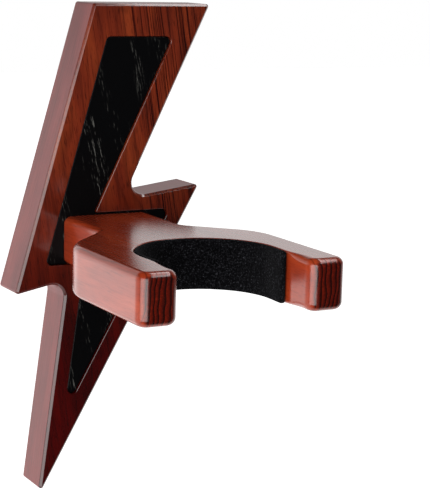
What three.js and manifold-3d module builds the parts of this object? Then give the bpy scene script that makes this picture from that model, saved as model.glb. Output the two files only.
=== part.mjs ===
// Wall guitar hanger: a lightning-bolt back plate with a black inlay, carrying a U-shaped wooden yoke.
// Millimetres, +Z up, +X to the right as seen from the room, +Y into the wall.
// The origin lies on the wall plane, straight behind the middle of the yoke's stem.
import * as THREE from 'three';
import { mergeVertices } from 'three/addons/utils/BufferGeometryUtils.js';
import Module from 'manifold-3d';

// ---- driving dimensions ----
const seatGap = 0.3; // clearance between pieces that sit on or in each other

// back plate: a lightning bolt cut from one board
const plateThick = 20.5;
const plateTop = 108.1;
const plateBottom = -122.9;
const tipRadius = 1.25;
const notchRadius = 6;
const plateEdge = 1.1; // chamfer around the front face
const topLeft = [-7.8, plateTop];
const topRight = [52.2, plateTop];
const rightNotch = [8.8, 17.9];
const rightTip = [48.8, 23.3];
const bottomTip = [-33.5, plateBottom];
const leftNotch = [-19.9, -19.0];
const leftTip = [-45.2, -24.0];

// inlay panel, sunk in a pocket in the plate's front face
const pocketDepth = 3.2;
const pocketCornerRadius = 2.5;
const pocketNotchRadius = 2.5; // the two corners where the rim juts into the pocket
const inlayThick = 2;
const rimTop = 15; // rim between the pocket and each edge of the plate
const rimLeft = 10.7;
const rimUpperRight = 10.7;
const rimLowerRight = 8.2;
const rimLowerLeft = 7.7;
const waistAbove = 1.05; // pocket above the stem's top face
const waistBelow = 0.3; // pocket below the stem's bottom face

// yoke: a stem, two shoulders and two arms, cut from one board
const yokeThick = 22.1;
const stemHalfWidth = 21.2;
const stemLength = 36; // plate's front face to the root of the shoulders
const stemRootRadius = 5.8;
const shoulderSlant = 45; // degrees between a shoulder and the wall
const shoulderRadius = 29;
const yokeReach = 131.3; // plate's front face to the ends of the arms
const armWidth = 17.6; // at the ends
const armEndRadius = 5;
const yokeEdge = 3.3; // roundover along the top and bottom edges
const mouthHalfGap = 29.6; // half the width between the ends of the arms
const armToe = 2.6; // degrees the arms' inner faces lean in towards their ends
const cradleDepth = 63.4; // ends of the arms to the deepest point of the cradle

// felt liner around the cradle's curve
const feltThick = 2.2;
const feltEndSetback = 20; // bare wood left at each arm's end
const feltEdgeSetback = 0.2; // felt below the wood's top face and above its bottom face

// two bolts from the rear hold the yoke, and two dowels line it up
const boltEdge = 8; // bolt's centre in from the stem's side
const boltDiameter = 6;
const boltLength = 30;
const boltHeadDiameter = 10.5;
const boltHeadHeight = 3.3;
const boltSocketAcross = 4;
const boltSocketDepth = 2;
const boltTipRun = 4; // free depth beyond the end of the bolt
const washerDiameter = 12;
const washerThick = 1.6;
const counterboreDepth = 7;
const insertDiameter = 9;
const insertLength = 15;
const insertSetback = 1; // insert below the end of the stem
const insertRidge = 0.5;
const insertRidgeCount = 5;
const dowelDiameter = 5;
const dowelEdge = 5; // dowel's centre in from the stem's top or bottom face
const dowelInPlate = 9;
const dowelInYoke = 12;
const dowelChamfer = 0.6;

// two keyhole hanger plates let into the rear face, each held by two small screws
const hangerWidth = 16;
const hangerHeight = 42;
const hangerThick = 1.5;
const hangerTopMargin = 15; // upper hanger plate below the back plate's top
const hangerSideMargin = 6; // wood left beside the foot of the lower hanger plate
const keyholeDiameter = 9;
const keyholeSlotWidth = 4.6;
const keyholeRun = 9; // centre of the round hole up to the end of the slot
const keyholeHollow = 8; // hollow behind the keyhole for a wall screw's head
const hangerScrewOffset = 15.5;
const hangerScrewLength = 12;
const hangerScrewDiameter = 2.8;
const hangerScrewHead = 5.6;
const hangerScrewSunk = 0.2;
const crossRecessWidth = 0.7;
const crossRecessLength = 3.4;

// ---- levels along Y, from the wall towards the room ----
const plateFront = -plateThick;
const pocketFloor = plateFront + pocketDepth;
const inlayBack = pocketFloor - seatGap;
const inlayFront = inlayBack - inlayThick;
const stemBack = inlayFront - seatGap;
const stemRoot = plateFront - stemLength;
const yokeEnd = plateFront - yokeReach;
const cradleTop = yokeEnd + cradleDepth;
const counterboreFloor = -counterboreDepth;
const washerFront = counterboreFloor + seatGap;
const boltSeat = washerFront + washerThick + seatGap;
const boltTip = boltSeat - boltLength;
const insertBack = stemBack - insertSetback;
const insertFront = insertBack - insertLength;
const dowelBack = pocketFloor + dowelInPlate;
const dowelFront = stemBack - dowelInYoke;

// ---- widths of the yoke ----
const yokeHalfWidth = mouthHalfGap + armWidth;
const stemTop = yokeThick / 2;

// ---- lines in X and Z that the pocket and the hanger plates are set out from ----
// The line from one corner of the plate to the next, moved inwards; corners run clockwise.
function insideEdge([x1, z1], [x2, z2], distance) {
  const direction = new THREE.Vector2(x2 - x1, z2 - z1).normalize();
  const point = new THREE.Vector2(x1 + direction.y * distance, z1 - direction.x * distance);
  return { point, direction };
}

function level(z) {
  return { point: new THREE.Vector2(0, z), direction: new THREE.Vector2(1, 0) };
}

function meet(first, second) {
  const gap = second.point.clone().sub(first.point);
  const along = gap.cross(second.direction) / first.direction.cross(second.direction);
  return first.point.clone().addScaledVector(first.direction, along).toArray();
}

const pocketLeft = insideEdge(leftTip, topLeft, rimLeft);
const pocketUpperRight = insideEdge(topRight, rightNotch, rimUpperRight);
const pocketLowerRight = insideEdge(rightTip, bottomTip, rimLowerRight);
const pocketLowerLeft = insideEdge(bottomTip, leftNotch, rimLowerLeft);
const pocketTop = level(plateTop - rimTop);
const pocketWaistTop = level(stemTop + waistAbove);
const pocketWaistBottom = level(-stemTop - waistBelow);
const pocketCorners = [
  meet(pocketLeft, pocketTop),
  meet(pocketUpperRight, pocketTop),
  meet(pocketUpperRight, pocketWaistTop),
  meet(pocketLowerRight, pocketWaistTop),
  meet(pocketLowerRight, pocketLowerLeft),
  meet(pocketLowerLeft, pocketWaistBottom),
  meet(pocketLeft, pocketWaistBottom),
];
// The third and the sixth corner are where the rim juts in beside the stem.
const pocketRadii = pocketCorners.map((corner, i) => (i % 3 === 2 ? pocketNotchRadius : pocketCornerRadius));

// ---- places of what repeats ----
const boltHalfSpacing = stemHalfWidth - boltEdge;
const boltPlaces = { left: -boltHalfSpacing, right: boltHalfSpacing };
const dowelHalfSpacing = stemTop - dowelEdge;
const dowelPlaces = { upper: dowelHalfSpacing, lower: -dowelHalfSpacing };
const screwSides = { top: hangerScrewOffset, bottom: -hangerScrewOffset };

// The upper hanger plate is centred between the edges; the foot of the lower one is as far from both edges.
const upperHangerZ = plateTop - hangerTopMargin - hangerHeight / 2;
const upperHangerLeft = meet(insideEdge(leftTip, topLeft, 0), level(upperHangerZ))[0];
const upperHangerRight = meet(insideEdge(topRight, rightNotch, 0), level(upperHangerZ))[0];
const footInset = hangerWidth / 2 + hangerSideMargin;
const [lowerHangerX, lowerHangerFoot] = meet(
  insideEdge(rightTip, bottomTip, footInset),
  insideEdge(bottomTip, leftNotch, footInset),
);
const hangerPlaces = {
  upper: [(upperHangerLeft + upperHangerRight) / 2, upperHangerZ],
  lower: [lowerHangerX, lowerHangerFoot + (hangerHeight - hangerWidth) / 2],
};

// ---- shape helpers ----
const arcStep = 2.6; // longest chord on a rounded corner
const reach = 5; // how far a cutting tool runs past the face it opens

// A closed outline of [x, y, radius] corners, each rounded by an arc of its own radius; 0 leaves it sharp.
function roundedShape(corners) {
  const points = [];
  const count = corners.length;
  corners.forEach(([x, y, radius], i) => {
    const [xBefore, yBefore] = corners[(i + count - 1) % count];
    const [xAfter, yAfter] = corners[(i + 1) % count];
    const corner = new THREE.Vector2(x, y);
    if (radius === 0) {
      points.push(corner);
      return;
    }
    const a = new THREE.Vector2(xBefore, yBefore).sub(corner).normalize();
    const b = new THREE.Vector2(xAfter, yAfter).sub(corner).normalize();
    const half = Math.acos(a.dot(b)) / 2;
    const sweep = Math.PI - 2 * half;
    const centre = a.clone().add(b).setLength(radius / Math.sin(half)).add(corner);
    const start = a.clone().multiplyScalar(radius / Math.tan(half)).add(corner).sub(centre);
    const turn = -Math.sign(a.cross(b)) * sweep;
    const steps = Math.max(5, Math.ceil((radius * sweep) / arcStep));
    for (let k = 0; k <= steps; k += 1) {
      points.push(start.clone().rotateAround(new THREE.Vector2(), (turn * k) / steps).add(centre));
    }
  });
  return new THREE.Shape(points);
}

// Corners moved inwards by the same distance from every edge; they run clockwise.
function insetCorners(corners, inset) {
  const count = corners.length;
  return corners.map(([x, z], i) => {
    const [xBefore, zBefore] = corners[(i + count - 1) % count];
    const [xAfter, zAfter] = corners[(i + 1) % count];
    const inward = new THREE.Vector2(z - zBefore, xBefore - x).normalize();
    const onward = new THREE.Vector2(zAfter - z, x - xAfter).normalize();
    const bisector = inward.clone().add(onward).normalize();
    const shift = inset / bisector.dot(inward);
    return [x + bisector.x * shift, z + bisector.y * shift];
  });
}

// A profile drawn in X and Z, extruded along Y from yFront to yBack.
function slab(shape, yFront, yBack) {
  return new THREE.ExtrudeGeometry(shape, { depth: yBack - yFront, bevelEnabled: false })
    .rotateX(Math.PI / 2)
    .translate(0, yBack, 0);
}

// A cylinder or cone along Y from yFront to yBack.
function rod(radius, x, z, yFront, yBack, frontRadius = radius, sides = 28) {
  return new THREE.CylinderGeometry(radius, frontRadius, yBack - yFront, sides)
    .translate(x, (yFront + yBack) / 2, z);
}

// A turned piece: [radius, y] points turned about the line through x and z.
function turned(profile, x, z, sides = 28) {
  const points = profile.map(([radius, y]) => new THREE.Vector2(radius, y));
  return new THREE.LatheGeometry(points, sides).translate(x, 0, z);
}

// An upright slot with round ends, drawn in X and Z.
function slotShape(x, zLow, zHigh, halfWidth) {
  const shape = new THREE.Shape();
  shape.absarc(x, zLow, halfWidth, Math.PI, 2 * Math.PI, false);
  shape.absarc(x, zHigh, halfWidth, 0, Math.PI, false);
  shape.closePath();
  return shape;
}

// ---- booleans ----
const wasm = await Module();
wasm.setup();

function toManifold(geometry) {
  const bare = geometry.clone();
  bare.deleteAttribute('normal');
  bare.deleteAttribute('uv');
  const merged = mergeVertices(bare, 1e-4);
  const index = merged.index.array;
  const triangles = [];
  for (let i = 0; i < index.length; i += 3) {
    const [a, b, c] = [index[i], index[i + 1], index[i + 2]];
    if (a !== b && b !== c && c !== a) triangles.push(a, b, c);
  }
  return new wasm.Manifold(new wasm.Mesh({
    numProp: 3,
    vertProperties: new Float32Array(merged.attributes.position.array),
    triVerts: new Uint32Array(triangles),
  }));
}

function toGeometry(solid) {
  const mesh = solid.getMesh();
  const geometry = new THREE.BufferGeometry();
  geometry.setAttribute('position', new THREE.BufferAttribute(mesh.vertProperties.slice(), 3));
  geometry.setIndex(new THREE.BufferAttribute(mesh.triVerts.slice(), 1));
  geometry.computeVertexNormals();
  return geometry;
}

function cut(geometry, tools) {
  return toGeometry(tools.reduce((solid, tool) => solid.subtract(toManifold(tool)), toManifold(geometry)));
}

// ---- back plate ----
// Bores for the bolts and dowels run on one line through the plate, the inlay and the stem.
function boltBores(radius, yFront, yBack) {
  return Object.values(boltPlaces).map((x) => rod(radius, x, 0, yFront, yBack));
}

function dowelBores(yFront, yBack) {
  return Object.values(dowelPlaces).map((z) => rod(dowelDiameter / 2 + seatGap, 0, z, yFront, yBack));
}

function hangerSlot([x, z], grow) {
  const halfWidth = hangerWidth / 2 + grow;
  const halfRun = (hangerHeight - hangerWidth) / 2;
  return slotShape(x, z - halfRun, z + halfRun, halfWidth);
}

function makeBackPlate() {
  const outline = roundedShape([
    [...topLeft, tipRadius],
    [...topRight, tipRadius],
    [...rightNotch, notchRadius],
    [...rightTip, tipRadius],
    [...bottomTip, tipRadius],
    [...leftNotch, notchRadius],
    [...leftTip, tipRadius],
  ]);
  const body = new THREE.ExtrudeGeometry(outline, {
    depth: plateThick,
    bevelThickness: plateEdge,
    bevelSize: plateEdge,
    bevelOffset: -plateEdge,
    bevelSegments: 1,
  });
  // The bevel at one end becomes the front chamfer; the other end reaches past the wall plane and is cut off.
  body.rotateX(Math.PI / 2).translate(0, plateEdge, 0);
  const size = plateTop - plateBottom;
  const wall = new THREE.BoxGeometry(2 * size, plateThick, 2 * size).translate(0, plateThick / 2, 0);
  const pocket = roundedShape(pocketCorners.map(([x, z], i) => [x, z, pocketRadii[i]]));
  const stemRoom = new THREE.BoxGeometry(
    2 * (stemHalfWidth + seatGap),
    2 * reach,
    2 * (stemTop + seatGap),
  ).translate(0, stemBack + seatGap - reach, 0);
  const tools = [
    wall,
    slab(pocket, plateFront - reach, pocketFloor),
    stemRoom,
    ...boltBores(washerDiameter / 2 + seatGap, counterboreFloor, reach),
    ...boltBores(boltDiameter / 2 + seatGap, pocketFloor - reach, reach),
    ...dowelBores(pocketFloor - reach, dowelBack + seatGap),
  ];
  const hollowHalf = keyholeDiameter / 2 + 2 * seatGap;
  const screwBore = hangerScrewDiameter / 2 + seatGap;
  Object.values(hangerPlaces).forEach(([x, z]) => {
    const hollow = slotShape(x, z - keyholeRun / 2, z + keyholeRun / 2, hollowHalf);
    tools.push(slab(hangerSlot([x, z], seatGap), -hangerThick - seatGap, reach));
    tools.push(slab(hollow, -hangerThick - keyholeHollow, reach));
    Object.values(screwSides).forEach((side) => {
      tools.push(rod(screwBore, x, z + side, -hangerScrewLength - seatGap, reach));
    });
  });
  return cut(body, tools);
}

// ---- inlay panel ----
// The panel follows the pocket, smaller by the clearance along every edge.
function makeInlay() {
  const corners = insetCorners(pocketCorners, seatGap).map(([x, z], i) => [x, z, pocketRadii[i]]);
  return cut(slab(roundedShape(corners), inlayFront, inlayBack), [
    ...boltBores(boltDiameter / 2 + seatGap, inlayFront - reach, inlayBack + reach),
    ...dowelBores(inlayFront - reach, inlayBack + reach),
  ]);
}

// ---- yoke ----
// Half of the cradle in plan, moved inwards: each side leans in towards the mouth, and one arc joins the two.
function cradleHalf(inset) {
  const toe = THREE.MathUtils.degToRad(armToe);
  const top = cradleTop - inset;
  const side = (y) => mouthHalfGap - inset / Math.cos(toe) + Math.tan(toe) * (y - yokeEnd);
  const radius = side(top) * Math.tan((Math.PI / 2 - toe) / 2) - 0.01;
  return { side, arc: [side(top), top, radius] };
}

// Plan outline in X and Y: stem, concave root, slanting shoulder, convex shoulder arc, arm, cradle curve.
// The stem runs on towards the wall and is then cut square.
function yokePlan() {
  const slant = THREE.MathUtils.degToRad(shoulderSlant);
  const shoulderEnd = stemRoot - (yokeHalfWidth - stemHalfWidth) * Math.tan(slant);
  const armEnd = Math.min(armEndRadius, 0.45 * armWidth);
  const cradle = cradleHalf(0);
  const right = [
    [stemHalfWidth, stemBack + reach, 0],
    [stemHalfWidth, stemRoot, stemRootRadius],
    [yokeHalfWidth, shoulderEnd, shoulderRadius],
    [yokeHalfWidth, yokeEnd, armEnd],
    [mouthHalfGap, yokeEnd, armEnd],
    cradle.arc,
  ];
  const left = right.map(([x, y, radius]) => [-x, y, radius]).reverse();
  return roundedShape([...right, ...left]);
}

function makeYoke() {
  const body = new THREE.ExtrudeGeometry(yokePlan(), {
    depth: yokeThick - 2 * yokeEdge,
    bevelThickness: yokeEdge,
    bevelSize: yokeEdge,
    bevelOffset: -yokeEdge,
    bevelSegments: 3,
  }).translate(0, 0, yokeEdge - stemTop);
  const stemCut = new THREE.BoxGeometry(4 * stemHalfWidth, 4 * reach, 2 * yokeThick)
    .translate(0, stemBack + 2 * reach, 0);
  const tools = [
    stemCut,
    ...boltBores(insertDiameter / 2 + insertRidge + seatGap, insertFront - seatGap, stemBack + reach),
    ...boltBores(boltDiameter / 2 + seatGap, boltTip - boltTipRun, stemBack + reach),
    ...dowelBores(dowelFront - seatGap, stemBack + reach),
  ];
  return cut(body, tools);
}

// ---- felt liner ----
// A strip of even thickness around the cradle, ending square before the ends of the arms.
function makeFelt() {
  const outer = cradleHalf(seatGap);
  const inner = cradleHalf(seatGap + feltThick);
  const end = yokeEnd + feltEndSetback;
  const cornerRadius = 0.15 * feltThick;
  const right = [
    outer.arc,
    [outer.side(end), end, cornerRadius],
    [inner.side(end), end, cornerRadius],
    inner.arc,
  ];
  const left = right.map(([x, y, radius]) => [-x, y, radius]).reverse();
  const height = yokeThick - 2 * feltEdgeSetback;
  return new THREE.ExtrudeGeometry(roundedShape([...right, ...left]), { depth: height, bevelEnabled: false })
    .translate(0, 0, -height / 2);
}

// ---- fasteners of the yoke ----
// Button-head bolt with a hexagonal socket, its head towards the wall.
function makeBolt(x) {
  const shank = boltDiameter / 2;
  const head = boltHeadDiameter / 2;
  const crown = boltSeat + boltHeadHeight;
  const body = turned([
    [0, boltTip],
    [shank - 0.7, boltTip],
    [shank, boltTip + 0.7],
    [shank, boltSeat],
    [head, boltSeat],
    [head, boltSeat + 0.25 * boltHeadHeight],
    [0.86 * head, boltSeat + 0.7 * boltHeadHeight],
    [0.6 * head, crown],
    [0, crown],
  ], x, 0);
  const socket = new THREE.CylinderGeometry(
    boltSocketAcross / Math.sqrt(3), boltSocketAcross / Math.sqrt(3), boltSocketDepth + reach, 6)
    .translate(x, crown - boltSocketDepth + (boltSocketDepth + reach) / 2, 0);
  return cut(body, [socket]);
}

function makeWasher(x) {
  const inner = boltDiameter / 2 + seatGap;
  const outer = washerDiameter / 2;
  return turned([
    [inner, washerFront],
    [outer, washerFront],
    [outer, washerFront + washerThick],
    [inner, washerFront + washerThick],
    [inner, washerFront],
  ], x, 0);
}

// Threaded sleeve: a plain bore and a ridged outside that bites into the wood.
function makeInsert(x) {
  const inner = boltDiameter / 2 + seatGap;
  const root = insertDiameter / 2;
  const pitch = insertLength / insertRidgeCount;
  const profile = [[inner, insertFront]];
  for (let k = 0; k < insertRidgeCount; k += 1) {
    const start = insertFront + k * pitch;
    profile.push([root, start]);
    profile.push([root, start + 0.4 * pitch]);
    profile.push([root + insertRidge, start + 0.7 * pitch]);
  }
  profile.push([root, insertBack], [inner, insertBack], [inner, insertFront]);
  return turned(profile, x, 0);
}

function makeDowel(z) {
  const radius = dowelDiameter / 2;
  return turned([
    [0, dowelFront],
    [radius - dowelChamfer, dowelFront],
    [radius, dowelFront + dowelChamfer],
    [radius, dowelBack - dowelChamfer],
    [radius - dowelChamfer, dowelBack],
    [0, dowelBack],
  ], 0, z, 20);
}

// ---- keyhole hanger plates ----
// Keyhole outline: a round hole low down and a narrower slot running up from it.
function keyholeShape([x, z]) {
  const radius = keyholeDiameter / 2;
  const half = keyholeSlotWidth / 2;
  const lean = Math.asin(half / radius);
  const low = z - keyholeRun / 2;
  const shape = new THREE.Shape();
  shape.absarc(x, low, radius, Math.PI / 2 + lean, 2.5 * Math.PI - lean, false);
  shape.absarc(x, low + keyholeRun, half, 0, Math.PI, false);
  shape.closePath();
  return shape;
}

function makeHangerPlate([x, z]) {
  const tools = [slab(keyholeShape([x, z]), -hangerThick - reach, reach)];
  const narrow = hangerScrewDiameter / 2 + seatGap;
  const wide = hangerScrewHead / 2 + 2 * seatGap;
  Object.values(screwSides).forEach((side) => {
    tools.push(rod(narrow, x, z + side, -hangerThick - reach, reach));
    tools.push(rod(wide, x, z + side, narrow - wide, 0, narrow));
  });
  return cut(slab(hangerSlot([x, z], 0), -hangerThick, 0), tools);
}

// Countersunk screw with a cross recess, its head towards the wall.
function makeHangerScrew(x, z) {
  const shank = hangerScrewDiameter / 2;
  const head = hangerScrewHead / 2;
  const top = -hangerScrewSunk;
  const neck = top - (head - shank);
  const body = turned([
    [0, -hangerScrewLength],
    [shank, -hangerScrewLength + 2 * shank],
    [shank, neck],
    [head, top],
    [0, top],
  ], x, z, 20);
  const recessDepth = 0.6 * (head - shank);
  const bars = [[crossRecessLength, crossRecessWidth], [crossRecessWidth, crossRecessLength]];
  return cut(body, bars.map(([sizeX, sizeZ]) => (
    new THREE.BoxGeometry(sizeX, 2 * recessDepth, sizeZ).translate(x, top, z))));
}

// ---- assembly ----
const finishes = {
  stainedWood: { color: '#6b1a10', roughness: 0.25, metalness: 0 },
  blackWood: { color: '#17171b', roughness: 0.5, metalness: 0 },
  felt: { color: '#141416', roughness: 0.98, metalness: 0 },
  blackSteel: { color: '#2a2b2e', roughness: 0.4, metalness: 1 },
  zincSteel: { color: '#b6b8ba', roughness: 0.35, metalness: 1 },
  brass: { color: '#b08d4a', roughness: 0.35, metalness: 1 },
  beech: { color: '#cda775', roughness: 0.6, metalness: 0 },
};

const hanger = new THREE.Group();

function add(name, geometry, finish) {
  const mesh = new THREE.Mesh(geometry, new THREE.MeshStandardMaterial(finishes[finish]));
  mesh.name = name;
  hanger.add(mesh);
}

add('back_plate', makeBackPlate(), 'stainedWood');
add('inlay_panel', makeInlay(), 'blackWood');
add('yoke', makeYoke(), 'stainedWood');
add('felt_liner', makeFelt(), 'felt');
Object.entries(boltPlaces).forEach(([side, x]) => {
  add(`yoke_bolt_${side}`, makeBolt(x), 'blackSteel');
  add(`yoke_washer_${side}`, makeWasher(x), 'zincSteel');
  add(`yoke_insert_${side}`, makeInsert(x), 'brass');
});
Object.entries(dowelPlaces).forEach(([side, z]) => {
  add(`yoke_dowel_${side}`, makeDowel(z), 'beech');
});
Object.entries(hangerPlaces).forEach(([position, [x, z]]) => {
  add(`hanger_plate_${position}`, makeHangerPlate([x, z]), 'zincSteel');
  Object.entries(screwSides).forEach(([side, offset]) => {
    add(`hanger_screw_${position}_${side}`, makeHangerScrew(x, z + offset), 'zincSteel');
  });
});

export default hanger;
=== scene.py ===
"""Wall guitar hanger: bolt-shaped back plate, black inlay, wooden yoke, felt liner and rear fixings."""
import math
import bpy
import numpy as np
from mathutils import Matrix, Vector


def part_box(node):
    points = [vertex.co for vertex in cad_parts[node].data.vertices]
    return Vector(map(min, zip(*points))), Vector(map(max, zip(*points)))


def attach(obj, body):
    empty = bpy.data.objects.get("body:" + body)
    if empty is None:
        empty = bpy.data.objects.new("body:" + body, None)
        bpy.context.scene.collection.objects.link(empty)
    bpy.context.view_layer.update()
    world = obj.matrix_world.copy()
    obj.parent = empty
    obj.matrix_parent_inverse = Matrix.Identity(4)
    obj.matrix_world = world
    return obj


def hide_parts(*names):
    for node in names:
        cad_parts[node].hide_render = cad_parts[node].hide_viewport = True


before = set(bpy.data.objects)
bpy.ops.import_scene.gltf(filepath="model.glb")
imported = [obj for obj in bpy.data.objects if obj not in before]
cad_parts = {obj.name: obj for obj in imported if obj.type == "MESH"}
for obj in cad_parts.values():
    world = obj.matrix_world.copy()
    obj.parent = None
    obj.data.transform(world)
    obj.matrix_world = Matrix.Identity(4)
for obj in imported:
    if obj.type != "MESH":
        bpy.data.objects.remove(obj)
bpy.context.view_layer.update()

MM = 0.001
rng = np.random.default_rng(7)

# ---------------------------------------------------------------- sizes, in millimetres
PLATE_THICK = 20.5
PLATE_FRONT = -PLATE_THICK
PLATE_TOP = 108.1
PLATE_CORNERS = [  # x, z and corner radius, clockwise from the top left
    (-7.8, PLATE_TOP, 1.25), (52.2, PLATE_TOP, 1.25), (8.8, 17.9, 6.0), (48.8, 23.3, 1.25),
    (-33.5, -122.9, 1.25), (-19.9, -19.0, 6.0), (-45.2, -24.0, 1.25)]
PLATE_EDGE = 1.1
RIMS = dict(top=15.0, left=10.7, upper_right=10.7, lower_right=8.2, lower_left=7.7)
POCKET_RADIUS = 2.5
POCKET_NOTCH_RADIUS = 0.7
POCKET_DEPTH = 3.2
INLAY_GAP = 0.12
INLAY_FRONT = -19.6
INLAY_BACK = -17.6

YOKE_HALF_THICK = 11.05
WAIST_TOP = YOKE_HALF_THICK + 1.05  # the pocket's edges just above and below the stem
WAIST_LOW = -YOKE_HALF_THICK - 0.3
STEM_BACK = -19.9
STEM_HALF = 21.2
STEM_ROOT = PLATE_FRONT - 36.0
YOKE_END = PLATE_FRONT - 131.3
YOKE_HALF_WIDTH = 47.2
MOUTH_HALF = 29.6  # half the gap between the ends of the arms
ARM_TOE = math.radians(2.6)  # the arms' inner faces lean in towards their ends
CRADLE_TOP = YOKE_END + 63.4
SHOULDER_RADIUS = 29.0
ROOT_RADIUS = 5.8
ARM_CORNER = 5.0
YOKE_ROUND = 3.3  # roundover along the yoke's top and bottom edges
CRADLE_ROUND = 0.7  # slighter roundover behind the felt

FELT_THICK = 2.2
FELT_HALF_HEIGHT = 11.1
FELT_END = YOKE_END + 20.0
FELT_GAP = 0.3


# ---------------------------------------------------------------- surfaces
def corner_lines(corners, insets):
    """Each edge of a clockwise polygon moved in by its own inset; new corners are where neighbours meet."""
    points = np.array([c[:2] for c in corners], float)
    step = np.roll(points, -1, 0) - points
    step /= np.linalg.norm(step, axis=1)[:, None]
    inward = np.stack([step[:, 1], -step[:, 0]], 1)
    moved = points + inward * np.asarray(insets, float)[:, None]
    before, along = np.roll(moved, 1, 0), np.roll(step, 1, 0)
    gap = moved - before
    cross = along[:, 0] * step[:, 1] - along[:, 1] * step[:, 0]
    t = (gap[:, 0] * step[:, 1] - gap[:, 1] * step[:, 0]) / cross
    return before + along * t[:, None]


def outline(corners, insets=0.0, arc=12, edge=8):
    """A polygon with round corners, as arc + edge points per corner, so that any two insets of it match.

    A corner's arc keeps its centre as it moves inwards: a convex radius shrinks by the inset and a
    concave one grows by it. Points between arcs are evenly spaced along the straight."""
    count = len(corners)
    insets = np.broadcast_to(np.asarray(insets, float), (count,))
    sharp = corner_lines(corners, insets)
    radii = np.array([c[2] for c in corners], float)
    behind = np.roll(sharp, 1, 0) - sharp
    ahead = np.roll(sharp, -1, 0) - sharp
    behind /= np.linalg.norm(behind, axis=1)[:, None]
    ahead /= np.linalg.norm(ahead, axis=1)[:, None]
    turn = np.sign(behind[:, 0] * ahead[:, 1] - behind[:, 1] * ahead[:, 0])
    convex = turn > 0
    both = (insets + np.roll(insets, 1)) / 2
    radii = np.where(convex, np.maximum(radii - both, 0.12), radii + both)
    half = np.arccos(np.clip((behind * ahead).sum(1), -1, 1)) / 2
    middle = behind + ahead
    middle /= np.linalg.norm(middle, axis=1)[:, None]
    centre = sharp + middle * (radii / np.sin(half))[:, None]
    start = sharp + behind * (radii / np.tan(half))[:, None] - centre
    angle = -turn[:, None] * (math.pi - 2 * half)[:, None] * np.linspace(0, 1, arc)[None]
    c, s = np.cos(angle), np.sin(angle)
    arcs = np.stack([c * start[:, :1] - s * start[:, 1:], s * start[:, :1] + c * start[:, 1:]], 2)
    arcs = arcs + centre[:, None]
    t = (np.arange(1, edge + 1) / (edge + 1))[None, :, None]
    straights = arcs[:, -1:] * (1 - t) + np.roll(arcs, -1, 0)[:, :1] * t
    return np.concatenate([arcs, straights], 1).reshape(-1, 2)


def finish_mesh(name, verts, faces, materials, slots=None, sharp=32.0, weighted=True):
    """Makes the object: metres, faces outwards by the sign of the volume, sharp where faces meet steeply."""
    mesh = bpy.data.meshes.new(name)
    mesh.from_pydata((np.asarray(verts, float) * MM).tolist(), [], [list(map(int, f)) for f in faces])
    if slots is not None:
        mesh.polygons.foreach_set("material_index", np.asarray(slots, np.int32))
    mesh.polygons.foreach_set("use_smooth", np.ones(len(mesh.polygons), bool))
    mesh.update()
    mesh.calc_loop_triangles()
    corners = np.zeros(len(mesh.loop_triangles) * 3, np.int32)
    mesh.loop_triangles.foreach_get("vertices", corners)
    p = np.asarray(verts, float)[corners.reshape(-1, 3)]
    if np.einsum("ij,ij->", p[:, 0], np.cross(p[:, 1], p[:, 2])) < 0:
        mesh.flip_normals()
    mesh.set_sharp_from_angle(angle=math.radians(sharp))
    obj = bpy.data.objects.new(name, mesh)
    bpy.context.scene.collection.objects.link(obj)
    for m in materials:
        mesh.materials.append(m)
    if weighted:
        w = obj.modifiers.new("even_normals", "WEIGHTED_NORMAL")
        w.keep_sharp = True
        w.weight = 90
    return obj


def stacked(rings, closed_ends=True):
    """Rings of equal count joined by quads, each end closed by one face.

    Gives vertices, faces and each quad's ring."""
    rings = np.asarray(rings, float)
    r, n = rings.shape[:2]
    i, j = np.meshgrid(np.arange(r - 1), np.arange(n), indexing="ij")
    k = (j + 1) % n
    quads = np.stack([i * n + j, i * n + k, (i + 1) * n + k, (i + 1) * n + j], -1).reshape(-1, 4)
    faces = quads.tolist()
    if closed_ends:
        faces += [list(range(n))[::-1], list(range((r - 1) * n, r * n))]
    return rings.reshape(-1, 3), faces, i.reshape(-1)


def upright(flat, y):
    """An outline drawn in X and Z, set at one depth or at a depth for each point."""
    return np.stack([flat[:, 0], np.broadcast_to(y, len(flat)), flat[:, 1]], 1)


def turned(profile, x, z, sides=64):
    """A closed profile of radius and depth turned about a line along Y."""
    profile = np.asarray(profile, float)
    a = np.linspace(0, 2 * math.pi, sides, endpoint=False)
    r = np.maximum(profile[:, 0], 1e-4)[:, None]
    return np.stack([x + r * np.cos(a), np.repeat(profile[:, 1:], sides, 1), z + r * np.sin(a)], 2)


def subtract(obj, *cutters):
    """Cuts closed meshes out of a piece and takes the cutters away."""
    for cutter in cutters:
        m = obj.modifiers.new("cut", "BOOLEAN")
        m.object, m.operation, m.solver = cutter, "DIFFERENCE", "EXACT"
        with bpy.context.temp_override(object=obj, active_object=obj, selected_objects=[obj]):
            while obj.modifiers[0].name != m.name:
                bpy.ops.object.modifier_move_up(modifier=m.name)
            bpy.ops.object.modifier_apply(modifier=m.name)
        bpy.data.objects.remove(cutter)
    obj.data.set_sharp_from_angle(angle=math.radians(32))
    return obj


# ---------------------------------------------------------------- materials
def linear(hex_colour):
    """sRGB hex to linear red, green, blue and alpha."""
    c = np.array([int(hex_colour[i:i + 2], 16) for i in (1, 3, 5)]) / 255
    c = np.where(c <= 0.04045, c / 12.92, ((c + 0.055) / 1.055) ** 2.4)
    return (*c.tolist(), 1.0)


def add(tree, kind, links=None, **settings):
    """Adds a node; settings that name a socket set its value, the rest are properties.

    links gives socket: output."""
    node = tree.nodes.new(kind)
    for key, value in settings.items():
        socket = next((s for s in node.inputs if s.name.replace(" ", "_") == key), None)
        if socket is not None and not hasattr(type(node), key):
            socket.default_value = value
        else:
            setattr(node, key, value)
    for key, value in (links or {}).items():
        tree.links.new(value, node.inputs[key])
    return node


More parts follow.
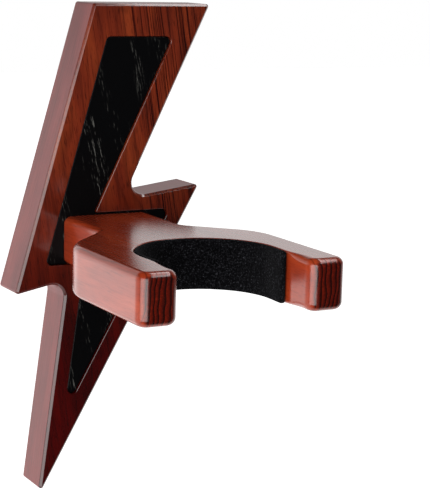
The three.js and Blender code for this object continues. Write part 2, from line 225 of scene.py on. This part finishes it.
def new_material(name):
    """A material with an empty node tree, and that tree."""
    m = bpy.data.materials.new(name)
    m.use_nodes = True
    m.node_tree.nodes.clear()
    return m, m.node_tree


def ramp(tree, value, stops):
    """A colour ramp; each stop is a place and a hex colour, or a place and a grey level."""
    node = add(tree, "ShaderNodeValToRGB", {0: value})
    while len(node.color_ramp.elements) < len(stops):
        node.color_ramp.elements.new(0.5)
    for e, (at, colour) in zip(node.color_ramp.elements, stops):
        e.position = at
        e.color = linear(colour) if isinstance(colour, str) else (colour, colour, colour, 1)
    return node


def grain(tree, coords, lean, across, along, **noise):
    """Noise stretched along the grain: across and along are its sizes in millimetres."""
    m = add(tree, "ShaderNodeMapping", {"Vector": coords}, vector_type="TEXTURE",
            Rotation=lean, Scale=(across[0] * MM, across[1] * MM, along * MM))
    return add(tree, "ShaderNodeTexNoise", {"Vector": m.outputs[0]}, Scale=1.0, **noise).outputs["Fac"]


def mix(tree, kind, factor, a, b):
    """Colour mix; a and b may be outputs or hex colours, factor an output or a number."""
    node = add(tree, "ShaderNodeMix", data_type="RGBA", blend_type=kind)
    for socket, value in ((node.inputs[0], factor), (node.inputs[6], a), (node.inputs[7], b)):
        if isinstance(value, bpy.types.NodeSocket):
            tree.links.new(value, socket)
        else:
            socket.default_value = linear(value) if isinstance(value, str) else value
    return node.outputs[2]


def stained_mahogany(name, lean, colours, roughness, coat, rings=5.0, ring_dark=0.6, streak_dark=0.5,
                     pore_dark=0.5, low=None, sawn=False, heart=None, end_grain=None):
    """Mahogany under a red stain and lacquer, drawn out along the grain: broad colour bands, growth rings,
    thin dark streaks and short open pores. low deepens the stain towards the foot; heart is where the dark
    heartwood lines gather; a sawn face keeps only fine lines along its length; end_grain darkens faces across
    the grain, where the stain soaks in, and shows the rings on them more than on the sides."""
    m, t = new_material(name)
    place = add(t, "ShaderNodeTexCoord")
    here = place.outputs["Object"]
    deep = 1000.0 if sawn else 1.0
    wander = grain(t, here, lean, (26 * deep, 26), 90, Detail=2.0)
    band_map = add(t, "ShaderNodeMapping", {"Vector": here}, vector_type="TEXTURE", Rotation=lean,
                   Scale=(rings * MM, rings * 3.0 * MM, 400 * MM))
    shift = add(t, "ShaderNodeVectorMath", {0: wander}, operation="SCALE", Scale=7.0)
    moved = add(t, "ShaderNodeVectorMath", {0: band_map.outputs[0], 1: shift.outputs[0]}, operation="ADD")
    wave = add(t, "ShaderNodeTexWave", {"Vector": moved.outputs[0]}, wave_type="BANDS", bands_direction="X",
               wave_profile="SAW", Scale=0.33, Distortion=1.6, Detail=3.0, Detail_Scale=1.5).outputs["Fac"]
    broad = grain(t, here, lean, (14 * deep, 14), 70, Detail=3.0, Roughness=0.55)
    streak = grain(t, here, lean, (0.9 * deep, 0.9), 38, Detail=4.0, Roughness=0.7)
    pores = grain(t, here, lean, (0.42 * deep, 0.42), 5, Detail=2.0, Roughness=0.5)
    base = ramp(t, broad, [(0.34, colours[0]), (0.5, colours[1]), (0.66, colours[2])]).outputs[0]
    late = ramp(t, wave, [(0.0, 1.0), (0.6, 0.95), (0.9, 1 - ring_dark), (1.0, 1.0)]).outputs[0]
    facing = add(t, "ShaderNodeSeparateXYZ", {0: place.outputs["Normal"]})
    if end_grain:
        side = add(t, "ShaderNodeMath", {0: facing.outputs["X"]}, operation="ABSOLUTE").outputs[0]
        plain = add(t, "ShaderNodeMapRange", {"Value": side}, From_Min=0.5, From_Max=0.95,
                    To_Min=1.0, To_Max=0.1)
        end = add(t, "ShaderNodeMapRange", {"Value": facing.outputs["Y"]}, interpolation_type="SMOOTHSTEP",
                  From_Min=-0.7, From_Max=-0.97)
        base = mix(t, "MULTIPLY", end.outputs[0], base, end_grain)
        base = mix(t, "MULTIPLY", plain.outputs[0], base, late)
        stripes = ramp(t, wave, [(0.0, 1.2), (0.3, 1.0), (0.7, 0.3), (0.92, 0.35), (1.0, 1.2)]).outputs[0]
        base = mix(t, "MULTIPLY", end.outputs[0], base, stripes)
        fleck = add(t, "ShaderNodeTexNoise", {"Vector": here}, Scale=1 / (1.1 * MM), Detail=3.0,
                    Roughness=0.7)
        bright = ramp(t, fleck.outputs["Fac"], [(0.45, 0.75), (0.6, 1.1), (0.72, 1.9)]).outputs[0]
        base = mix(t, "MULTIPLY", end.outputs[0], base, bright)
    else:
        base = mix(t, "MULTIPLY", 1.0, base, late)
    pale = 1.0 + 0.25 * streak_dark
    lines = ramp(t, streak, [(0.34, 1 - streak_dark), (0.47, 1.0), (0.65, pale)]).outputs[0]
    base = mix(t, "MULTIPLY", 1.0, base, lines)
    open_pores = ramp(t, pores, [(0.32, 1 - pore_dark), (0.42, 1.0)]).outputs[0]
    base = mix(t, "MULTIPLY", 1.0, base, open_pores)
    if heart:
        line_map = grain(t, here, lean, (0.8, 0.8), 120, Detail=3.0, Roughness=0.7)
        across = add(t, "ShaderNodeMapping", {"Vector": here}, vector_type="TEXTURE", Rotation=lean,
                     Scale=(MM, MM, MM))
        parts = add(t, "ShaderNodeSeparateXYZ", {0: across.outputs[0]})
        where = add(t, "ShaderNodeMapRange", {"Value": parts.outputs["X"]}, interpolation_type="SMOOTHSTEP",
                    From_Min=heart[0], From_Max=heart[1])
        dark = ramp(t, line_map, [(0.40, 1.0), (0.50, 0.0)]).outputs[0]
        both = add(t, "ShaderNodeMath", {0: where.outputs[0], 1: dark}, operation="MULTIPLY").outputs[0]
        base = mix(t, "MULTIPLY", both, base, "#6a3a38")
    if low:
        z = add(t, "ShaderNodeSeparateXYZ", {0: here}).outputs["Z"]
        down = add(t, "ShaderNodeMapRange", {"Value": z}, interpolation_type="SMOOTHSTEP",
                   From_Min=low[0] * MM, From_Max=low[1] * MM, To_Min=1.0, To_Max=0.0)
        base = mix(t, "MULTIPLY", down.outputs[0], base, low[2])
    peel = add(t, "ShaderNodeTexNoise", {"Vector": here}, Scale=1 / (3.0 * MM), Detail=2.0).outputs["Fac"]
    bump = add(t, "ShaderNodeBump", {"Height": open_pores}, Strength=0.2, Distance=0.04 * MM)
    coat_bump = add(t, "ShaderNodeBump", {"Height": peel}, Strength=0.3, Distance=0.03 * MM)
    gloss = add(t, "ShaderNodeMapRange", {"Value": streak}, From_Min=0.35, From_Max=0.65,
                To_Min=roughness * 1.15, To_Max=roughness * 0.9)
    bsdf = add(t, "ShaderNodeBsdfPrincipled", {"Base Color": base, "Roughness": gloss.outputs[0],
               "Normal": bump.outputs[0], "Coat Normal": coat_bump.outputs[0]}, IOR=1.5,
               Specular_IOR_Level=0.05, Coat_Weight=coat[0], Coat_Roughness=coat[1], Coat_IOR=1.5)
    add(t, "ShaderNodeOutputMaterial", {"Surface": bsdf.outputs[0]})
    return m


LEAN_PLATE = (0.0, math.radians(-9), 0.0)  # grain nearly upright, its top leaning left
LEAN_YOKE = (math.radians(90), 0.0, math.radians(2))  # grain from the wall to the arms' ends

plate_wood = stained_mahogany(
    "stained_mahogany_gloss", LEAN_PLATE, ("#581c0e", "#6f2612", "#7f3217"), 0.42, (1.0, 0.12),
    rings=7.0, ring_dark=0.3, streak_dark=0.3, low=(-60.0, 60.0, "#982238"), heart=(10.0, 30.0))
edge_wood = stained_mahogany(
    "stained_mahogany_sawn_edge", (0.0, 0.0, 0.0), ("#621e1c", "#6e211e", "#7a2a25"), 0.5, (0.62, 0.33),
    ring_dark=0.0, streak_dark=0.3, pore_dark=0.25, sawn=True)
yoke_wood = stained_mahogany(
    "stained_mahogany_yoke", LEAN_YOKE, ("#842a12", "#933014", "#a03a1a"), 0.42, (1.0, 0.2),
    rings=2.2, ring_dark=0.6, streak_dark=0.2, pore_dark=0.2, end_grain="#a0705c")

# Open-grained wood stained black: nearly no colour, a soft satin, and pale dust caught in a few pores.
black_wood, t = new_material("ebonised_ash_satin")
here = add(t, "ShaderNodeTexCoord").outputs["Object"]
pores = grain(t, here, (0.0, math.radians(-12), 0.0), (0.45, 0.45), 5, Detail=2.0, Roughness=0.55)
patch = grain(t, here, (0.0, math.radians(-14), 0.0), (7, 7), 60, Detail=2.0)
dust = ramp(t, pores, [(0.60, 0.0), (0.70, 1.0)]).outputs[0]
where = ramp(t, patch, [(0.52, 0.0), (0.66, 1.0)]).outputs[0]
dusty = add(t, "ShaderNodeMath", {0: dust, 1: where}, operation="MULTIPLY").outputs[0]
colour = mix(t, "MIX", dusty, "#040405", "#5c5c58")
bump = add(t, "ShaderNodeBump", {"Height": pores}, Strength=0.4, Distance=0.08 * MM)
bsdf = add(t, "ShaderNodeBsdfPrincipled", {"Base Color": colour, "Normal": bump.outputs[0]},
           Roughness=0.36, IOR=1.5, Specular_IOR_Level=0.12)
add(t, "ShaderNodeOutputMaterial", {"Surface": bsdf.outputs[0]})

# Wool felt: matted fibres without a weave, so a cloudy near-black with tiny paler fibres and a soft sheen.
felt_black, t = new_material("wool_felt_black")
here = add(t, "ShaderNodeTexCoord").outputs["Object"]
fibre = add(t, "ShaderNodeTexNoise", {"Vector": here}, Scale=1 / (0.75 * MM), Detail=4.0, Roughness=0.8)
cloud = add(t, "ShaderNodeTexNoise", {"Vector": here}, Scale=1 / (4.0 * MM), Detail=3.0)
tone = ramp(t, fibre.outputs["Fac"], [(0.36, "#020203"), (0.53, "#09090b"), (0.64, "#2c2c30"),
                                      (0.74, "#5c5c62")]).outputs[0]
tone = mix(t, "MULTIPLY", 0.5, tone, ramp(t, cloud.outputs["Fac"], [(0.3, 0.6), (0.7, 1.3)]).outputs[0])
bump = add(t, "ShaderNodeBump", {"Height": fibre.outputs["Fac"]}, Strength=0.8, Distance=0.3 * MM)
bsdf = add(t, "ShaderNodeBsdfPrincipled", {"Base Color": tone, "Normal": bump.outputs[0]}, Roughness=0.95,
           Sheen_Weight=0.02, Sheen_Roughness=0.5, Specular_IOR_Level=0.03)
add(t, "ShaderNodeOutputMaterial", {"Surface": bsdf.outputs[0]})


def metal(name, colour, roughness, scale, spread=0.1):
    """Bare or plated metal: a faint mottle in colour and roughness, scale is its size in millimetres."""
    m, t = new_material(name)
    here = add(t, "ShaderNodeTexCoord").outputs["Object"]
    n = add(t, "ShaderNodeTexNoise", {"Vector": here}, Scale=1 / (scale * MM), Detail=4.0, Roughness=0.6)
    tone = mix(t, "MULTIPLY", 0.6, colour, ramp(t, n.outputs["Fac"], [(0.3, 0.75), (0.7, 1.1)]).outputs[0])
    rough = add(t, "ShaderNodeMapRange", {"Value": n.outputs["Fac"]}, From_Min=0.3, From_Max=0.7,
                To_Min=roughness - spread, To_Max=roughness + spread)
    bump = add(t, "ShaderNodeBump", {"Height": n.outputs["Fac"]}, Strength=0.2, Distance=0.03 * MM)
    bsdf = add(t, "ShaderNodeBsdfPrincipled", {"Base Color": tone, "Roughness": rough.outputs[0],
               "Normal": bump.outputs[0]}, Metallic=1.0)
    add(t, "ShaderNodeOutputMaterial", {"Surface": bsdf.outputs[0]})
    return m


zinc = metal("zinc_plated_steel", "#c4c7c9", 0.34, 1.5)
black_steel = metal("black_oxide_steel", "#2c2d30", 0.38, 1.0)
brass = metal("machined_brass", "#b79350", 0.3, 2.0)
beech = stained_mahogany("bare_beech", LEAN_YOKE, ("#b58c5c", "#caa474", "#d8b98c"), 0.6, (0.0, 0.5), ring_dark=0.2,
                         streak_dark=0.2, pore_dark=0.3)

# ---------------------------------------------------------------- back plate and inlay
def rim_corners():
    """The pocket's corners: the plate's edges moved in by each rim's width, cut level above and below the stem."""
    top_left, top_right, right_notch, right_tip, foot, left_notch, left_tip = [np.array(c[:2]) for c in PLATE_CORNERS]

    def inside(a, b, distance):
        d = (b - a) / np.linalg.norm(b - a)
        return a + np.array([d[1], -d[0]]) * distance, d

    def level(z):
        return np.array([0.0, z]), np.array([1.0, 0.0])

    def meet(p, q):
        gap = q[0] - p[0]
        t = (gap[0] * q[1][1] - gap[1] * q[1][0]) / (p[1][0] * q[1][1] - p[1][1] * q[1][0])
        return p[0] + p[1] * t

    left = inside(left_tip, top_left, RIMS["left"])
    upper = inside(top_right, right_notch, RIMS["upper_right"])
    lower = inside(right_tip, foot, RIMS["lower_right"])
    inner = inside(foot, left_notch, RIMS["lower_left"])
    top, waist_top, waist_low = level(PLATE_TOP - RIMS["top"]), level(WAIST_TOP), level(WAIST_LOW)
    pairs = [(left, top), (upper, top), (upper, waist_top), (lower, waist_top), (lower, inner),
             (inner, waist_low), (left, waist_low)]
    return [(*meet(a, b), POCKET_NOTCH_RADIUS if i in (2, 5) else POCKET_RADIUS) for i, (a, b) in enumerate(pairs)]


POCKET = rim_corners()

# From the wall: back edge, side, front chamfer with eased corners, front face, pocket rim, pocket wall, pocket floor.
outer = [(0.30, 0.0), (0.08, -0.08), (0.0, -0.30)]
outer += [(0.0, y) for y in np.linspace(-1.5, PLATE_FRONT + PLATE_EDGE + 0.6, 9)]
outer += [(0.0, PLATE_FRONT + PLATE_EDGE + 0.16), (0.05, PLATE_FRONT + PLATE_EDGE + 0.02)]
outer += [(0.16, PLATE_FRONT + PLATE_EDGE - 0.14), (PLATE_EDGE - 0.14, PLATE_FRONT + 0.14)]
outer += [(PLATE_EDGE + 0.02, PLATE_FRONT + 0.04), (PLATE_EDGE + 0.25, PLATE_FRONT)]
pocket_rings = [(-0.55, PLATE_FRONT), (-0.36, PLATE_FRONT + 0.04), (-0.12, PLATE_FRONT + 0.16),
                (0.0, PLATE_FRONT + 0.42)]
pocket_rings += [(0.0, PLATE_FRONT + POCKET_DEPTH)]
rings = [upright(outline(PLATE_CORNERS, d), y) for d, y in outer]
rings += [upright(outline(POCKET, d), y) for d, y in pocket_rings]
verts, faces, strip = stacked(rings)
edge_faces = (strip >= 1) & (strip < 12)
slots = np.concatenate([np.where(edge_faces, 1, 0), [0, 0]])
plate = finish_mesh("bolt_plate", verts, faces, [plate_wood, edge_wood], slots)


def tool(name, rings):
    v, f, _ = stacked(rings)
    return finish_mesh(name, v, f, [plate_wood], weighted=False)


def hanger_outline(grow, arc=24):
    """An upright slot with round ends, about its own middle, grown by a clearance."""
    half, tall = 8.0 + grow, 21.0 + grow
    return outline([(-half, tall, half - 0.01), (half, tall, half - 0.01), (half, -tall, half - 0.01),
                    (-half, -tall, half - 0.01)], 0.0, arc, 6)


hangers = {}
for side in ("upper", "lower"):
    low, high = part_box(f"hanger_plate_{side}")
    hangers[side] = np.array([(low.x + high.x) / 2, (low.z + high.z) / 2]) / MM
hollow = outline([(-5.1, 9.6, 5.09), (5.1, 9.6, 5.09), (5.1, -9.6, 5.09), (-5.1, -9.6, 5.09)], 0.0, 16, 4)
cutters = []
for x in (-13.2, 13.2):
    bore = [(0, -19), (3.3, -19), (3.3, -7), (6.3, -7), (6.3, -0.4), (6.7, 0.02), (6.7, 3), (0, 3)]
    cutters.append(tool("bore", turned(bore, x, 0)))
for centre in hangers.values():
    cutters.append(tool("rout", [upright(hanger_outline(0.3) + centre, y) for y in (-1.8, 3)]))
    cutters.append(tool("hollow", [upright(hollow + centre, y) for y in (-9.5, -1.0)]))
    for dz in (15.5, -15.5):
        pilot = [(0, -12.3), (1.7, -12.3), (1.7, -1), (0, -1)]
        cutters.append(tool("pilot", turned(pilot, centre[0], centre[1] + dz, 24)))
subtract(plate, *cutters)
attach(plate, "root")
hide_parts("back_plate")

inlay_rings = [(INLAY_GAP + 0.15, INLAY_BACK), (INLAY_GAP, INLAY_BACK - 0.15)]
inlay_rings += [(INLAY_GAP + 0.7 * (1 - math.cos(a)), INLAY_FRONT + 0.55 * (1 - math.sin(a)))
                for a in np.radians([0, 18, 36, 54, 72, 90])]
verts, faces, _ = stacked([upright(outline(POCKET, d), y) for d, y in inlay_rings])
inlay = finish_mesh("inlay_board", verts, faces, [black_wood])
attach(inlay, "root")
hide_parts("inlay_panel")

# ---------------------------------------------------------------- yoke
def cradle(inset):
    """The U moved inwards: where its sides meet its top, and the radius of the one arc that joins them."""
    x = MOUTH_HALF - inset / math.cos(ARM_TOE) + math.tan(ARM_TOE) * (CRADLE_TOP - inset - YOKE_END)
    return x, CRADLE_TOP - inset, x * math.tan((math.pi / 2 - ARM_TOE) / 2) - 0.01


shoulder = STEM_ROOT - (YOKE_HALF_WIDTH - STEM_HALF)
right = [(STEM_HALF, STEM_BACK, 0.15), (STEM_HALF, STEM_ROOT, ROOT_RADIUS),
         (YOKE_HALF_WIDTH, shoulder, SHOULDER_RADIUS), (YOKE_HALF_WIDTH, YOKE_END, ARM_CORNER),
         (MOUTH_HALF, YOKE_END, ARM_CORNER), cradle(0)]
left = [(-x, y, r) for x, y, r in right[::-1]]
YOKE_PLAN = right + left
ARC, EDGE = 20, 10


def yoke_ring(angle, side):
    """One level of the roundover: each edge moves in by its radius times 1 - cos, and lies its radius times
    1 - sin below the face.

    The radius is full all round but eases off along the cradle, behind the felt. The edge where the stem
    meets the inlay stays square."""
    open_edges = np.array([1.0] * 11 + [0.0])
    rise = 1 - math.cos(angle)
    slight = outline(YOKE_PLAN, CRADLE_ROUND * rise * open_edges, ARC, EDGE)
    full = outline(YOKE_PLAN, YOKE_ROUND * rise * open_edges, ARC, EDGE)
    span = ARC + EDGE
    index = np.arange(12 * span)
    inner = (index >= 4 * span + ARC) & (index < 7 * span)
    near = np.clip((full[:, 1] - YOKE_END - 8.0) / 16.0, 0, 1) * inner
    ease = (near * near * (3 - 2 * near))[:, None]
    radius = YOKE_ROUND + (CRADLE_ROUND - YOKE_ROUND) * ease[:, 0]
    z = side * (YOKE_HALF_THICK - radius * (1 - math.sin(angle)))
    return np.concatenate([full + (slight - full) * ease, z[:, None]], 1)


angles = np.radians(np.linspace(0, 90, 8))
rings = [yoke_ring(a, -1) for a in angles[::-1]]
low, high = yoke_ring(0, -1), yoke_ring(0, 1)
rings += [low * (1 - t) + high * t for t in np.linspace(0, 1, 7)[1:-1]]
rings += [yoke_ring(a, 1) for a in angles]
verts, faces, _ = stacked(rings)
yoke = finish_mesh("yoke_board", verts, faces, [yoke_wood])
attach(yoke, "root")
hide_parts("yoke")

# ---------------------------------------------------------------- felt
_, top, radius = cradle(FELT_GAP + FELT_THICK / 2)
sweep = np.linspace(-ARM_TOE, math.pi + ARM_TOE, 97)
curve = np.stack([radius * np.cos(sweep), top - radius + radius * np.sin(sweep)], 1)
start = curve[0] + (FELT_END - curve[0, 1]) * np.array([math.tan(ARM_TOE), 1.0])
leg = start + (curve[0] - start) * np.linspace(0, 1, 14)[:-1, None]
path = np.concatenate([leg, curve, (leg * [-1, 1])[::-1]])
tangent = np.gradient(path, axis=0)
tangent /= np.linalg.norm(tangent, axis=1)[:, None]
outward = np.stack([tangent[:, 1], -tangent[:, 0]], 1)
corner = 0.8
section = outline([(-FELT_THICK / 2, FELT_HALF_HEIGHT, corner), (FELT_THICK / 2, FELT_HALF_HEIGHT, corner),
                   (FELT_THICK / 2, -FELT_HALF_HEIGHT, corner), (-FELT_THICK / 2, -FELT_HALF_HEIGHT, corner)], 0.0, 6, 22)
ends = np.array([0.62, 0.86, 0.97])
shrink = np.concatenate([ends, np.ones(len(path) - 6), ends[::-1]])
thin = section[None, :, 0] * shrink[:, None]
tall = np.sign(section[None, :, 1]) * (np.abs(section[None, :, 1]) - (1 - shrink)[:, None] * 1.2)
grid = np.stack([path[:, None, 0] + outward[:, None, 0] * thin, path[:, None, 1] + outward[:, None, 1] * thin,
                 np.broadcast_to(tall, thin.shape)], 2)
ripple = rng.normal(0, 1, grid.shape[:2])
ripple = (ripple + np.roll(ripple, 1, 1) + np.roll(ripple, -1, 1)) / 3
grid[:, :, :2] += outward[:, None] * (ripple * 0.05 * np.sign(section[None, :, 0]) * (section[None, :, 0] < 0))[:, :, None]
verts, faces, _ = stacked(grid)
felt = finish_mesh("felt_strip", verts, faces, [felt_black], sharp=80, weighted=False)
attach(felt, "root")
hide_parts("felt_liner")

# ---------------------------------------------------------------- fixings in the back
def button_head(x, name):
    """Socket bolt with a domed head; the dome is a circular arc from the head's rim to its flat crown."""
    a = np.radians(np.linspace(8, 68, 9))
    dome = [(5.25 * math.cos(v) / math.cos(a[0]), -4.2 + 3.1 * (math.sin(v) - math.sin(a[0]))) for v in a]
    profile = [(0, -34.8), (2.3, -34.8), (3.0, -34.1), (3.0, -4.8), (5.15, -4.8), (5.25, -4.7)] + dome + [(0, dome[-1][1])]
    v, f, _ = stacked(turned(profile, x, 0))
    bolt = finish_mesh(name, v, f, [black_steel])
    socket = tool("socket", turned([(0, -3.9), (2.31, -3.9), (2.31, 2), (0, 2)], x, 0, 6))
    return subtract(bolt, socket)


for side, x in (("left", -13.2), ("right", 13.2)):
    bolt = button_head(x, f"socket_bolt_{side}")
    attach(bolt, "root")
    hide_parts(f"yoke_bolt_{side}")
    ring = [(3.3, -6.55), (3.45, -6.7), (5.8, -6.7), (6.0, -6.5), (6.0, -5.3), (5.8, -5.1), (3.45, -5.1),
            (3.3, -5.25), (3.3, -6.55)]
    v, f, _ = stacked(turned(ring, x, 0), closed_ends=False)
    washer = finish_mesh(f"flat_washer_{side}", v, f, [zinc])
    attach(washer, "root")
    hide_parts(f"yoke_washer_{side}")

low, high = -4.5, 4.5
lean = math.asin(2.3 / 4.5)
a = np.linspace(math.pi / 2 + lean, 2.5 * math.pi - lean, 48)
b = np.linspace(0, math.pi, 24)
keyhole = np.concatenate([np.stack([4.5 * np.cos(a), low + 4.5 * np.sin(a)], 1),
                          np.stack([2.3 * np.cos(b), high + 2.3 * np.sin(b)], 1)])
for side, centre in hangers.items():
    levels = [(0.18, -1.5), (0.0, -1.35), (0.0, -0.2), (0.06, -0.06), (0.2, 0.0)]
    v, f, _ = stacked([upright(hanger_outline(-d) + centre, y) for d, y in levels])
    strap = finish_mesh(f"keyhole_strap_{side}", v, f, [zinc])
    holes = [tool("keyhole", [upright(keyhole[::-1] + centre, y) for y in (-3, 2)])]
    for dz in (15.5, -15.5):
        cone = [(0, -3), (1.7, -3), (1.7, -1.7), (3.4, 0), (3.4, 1), (0, 1)]
        holes.append(tool("sink", turned(cone, centre[0], centre[1] + dz, 48)))
    subtract(strap, *holes)
    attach(strap, "root")
    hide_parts(f"hanger_plate_{side}")
    for end, dz in (("top", 15.5), ("bottom", -15.5)):
        profile = [(0, -12), (1.4, -9.2), (1.4, -1.6), (2.72, -0.28), (2.8, -0.2), (2.72, -0.16), (0, -0.05)]
        v, f, _ = stacked(turned(profile, centre[0], centre[1] + dz, 48))
        screw = finish_mesh(f"cross_screw_{side}_{end}", v, f, [zinc])
        bars = []
        for sx, sz in ((1.7, 0.36), (0.36, 1.7)):
            foot = outline([(-0.4 * sx, 0.4 * sz, 0.05), (0.4 * sx, 0.4 * sz, 0.05), (0.4 * sx, -0.4 * sz, 0.05),
                            (-0.4 * sx, -0.4 * sz, 0.05)], 0.0, 4, 2)
            mouth = outline([(-sx, sz, 0.1), (sx, sz, 0.1), (sx, -sz, 0.1), (-sx, -sz, 0.1)], 0.0, 4, 2)
            at = centre + np.array([0, dz])
            bars.append(tool("bar", [upright(foot + at, -1.3), upright(mouth + at, 0.3)]))
        subtract(screw, *bars)
        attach(screw, "root")
        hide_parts(f"hanger_screw_{side}_{end}")

for name, material in (("yoke_insert_left", brass), ("yoke_insert_right", brass), ("yoke_dowel_upper", beech),
                       ("yoke_dowel_lower", beech)):
    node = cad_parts[name]
    node.data.materials.clear()
    node.data.materials.append(material)

# ---------------------------------------------------------------- floor, light and camera
size = 6.0
mesh = bpy.data.meshes.new("floor")
floor_corners = [(-size, -0.3, -0.42), (size, -0.3, -0.42), (size, size, -0.42), (-size, size, -0.42)]
mesh.from_pydata(floor_corners, [], [(0, 1, 2, 3)])
floor = bpy.data.objects.new("floor", mesh)
bpy.context.scene.collection.objects.link(floor)
# The floor paper glows with painted light: its emission is none at the front and full from just behind the object, so
# it shines like a lit backdrop.
glowing_paper, t = new_material("white_paper")
here = add(t, "ShaderNodeTexCoord").outputs["Object"]
y = add(t, "ShaderNodeSeparateXYZ", {0: here}).outputs["Y"]
painted_glow = add(t, "ShaderNodeMapRange", {"Value": y}, interpolation_type="SMOOTHSTEP",
          From_Min=-0.5, From_Max=0.25, To_Min=0.0, To_Max=1.0)
bsdf = add(t, "ShaderNodeBsdfPrincipled", {"Emission Strength": painted_glow.outputs[0]}, Base_Color=linear("#f2f2f0"),
           Roughness=0.8, Emission_Color=(1, 1, 1, 1))
add(t, "ShaderNodeOutputMaterial", {"Surface": bsdf.outputs[0]})
mesh.materials.append(glowing_paper)

# A bright paper sweep stands behind the object, up to about 35 degrees; the room above and in front is dim.
world = bpy.data.worlds.new("studio")
bpy.context.scene.world = world
world.use_nodes = True
t = world.node_tree
t.nodes.clear()
way = add(t, "ShaderNodeTexCoord").outputs["Generated"]
way = add(t, "ShaderNodeSeparateXYZ", {0: way})
back = add(t, "ShaderNodeMapRange", {"Value": way.outputs["Y"]}, interpolation_type="SMOOTHSTEP",
           From_Min=-0.1, From_Max=0.5)
low = add(t, "ShaderNodeMapRange", {"Value": way.outputs["Z"]}, interpolation_type="SMOOTHSTEP",
          From_Min=0.65, From_Max=0.35)
sweep = add(t, "ShaderNodeMath", {0: back.outputs[0], 1: low.outputs[0]}, operation="MULTIPLY")
dim = add(t, "ShaderNodeMath", {0: sweep.outputs[0]}, operation="MAXIMUM")
dim.inputs[1].default_value = 0.04
seen = add(t, "ShaderNodeLightPath").outputs["Is Camera Ray"]
level = add(t, "ShaderNodeMath", {0: dim.outputs[0], 1: seen}, operation="MAXIMUM")
glow = add(t, "ShaderNodeBackground", {"Strength": level.outputs[0]}, Color=(1, 1, 1, 1))
add(t, "ShaderNodeOutputWorld", {"Surface": glow.outputs[0]})


def soft_box(name, place, aim, width, height, brightness, lengthwise=False):
    """A flat soft light, its height upright or, lengthwise, square to X along the arms. brightness is its
    radiance, so its power is that times pi times its area."""
    data = bpy.data.lights.new(name, "AREA")
    data.shape, data.size, data.size_y = "RECTANGLE", width, height
    data.energy = brightness * math.pi * width * height
    light = bpy.data.objects.new(name, data)
    back = (Vector(place) - Vector(aim)).normalized()
    if lengthwise:
        side = (Vector((1, 0, 0)) - back * back.x).normalized()
    else:
        side = Vector((0, 0, 1)).cross(back).normalized()
    turn = Matrix((side, back.cross(side), back)).transposed().to_4x4()
    light.matrix_world = Matrix.Translation(Vector(place)) @ turn
    light.visible_camera = False
    bpy.context.scene.collection.objects.link(light)
    return light


soft_box("left_back", (-0.62, 1.0, -0.22), (0, -0.05, 0), 1.0, 1.0, 0.7)
soft_box("key", (-0.9, -0.95, 0.0), (0, -0.08, 0), 1.6, 1.0, 4.7)
soft_box("strip_over_arms", (0.60, -0.42, 1.0), (0, -0.15, 0), 0.2, 1.5, 8.0, lengthwise=True)

camera_data = bpy.data.cameras.new("camera")
camera = bpy.data.objects.new("camera", camera_data)
bpy.context.scene.collection.objects.link(camera)
bpy.context.scene.camera = camera
camera_data.lens = 118.94
camera_data.sensor_width = 36
camera_data.clip_start, camera_data.clip_end = 0.02, 50
azimuth, elevation, roll = (math.radians(v) for v in (-29.127, 10.27, 1.541))
forward = Vector((-math.sin(azimuth) * math.cos(elevation), math.cos(azimuth) * math.cos(elevation),
                  -math.sin(elevation)))
across = Vector((math.cos(azimuth), math.sin(azimuth), 0))
above = across.cross(forward)
x_axis = across * math.cos(roll) + above * math.sin(roll)
y_axis = above * math.cos(roll) - across * math.sin(roll)
camera.matrix_world = Matrix.Translation(Vector((-0.31545, -0.6905, 0.13231))) @ Matrix(
    (x_axis, y_axis, -forward)).transposed().to_4x4()

bpy.context.scene.view_settings.view_transform = "Standard"
bpy.context.scene.view_settings.look = "None"
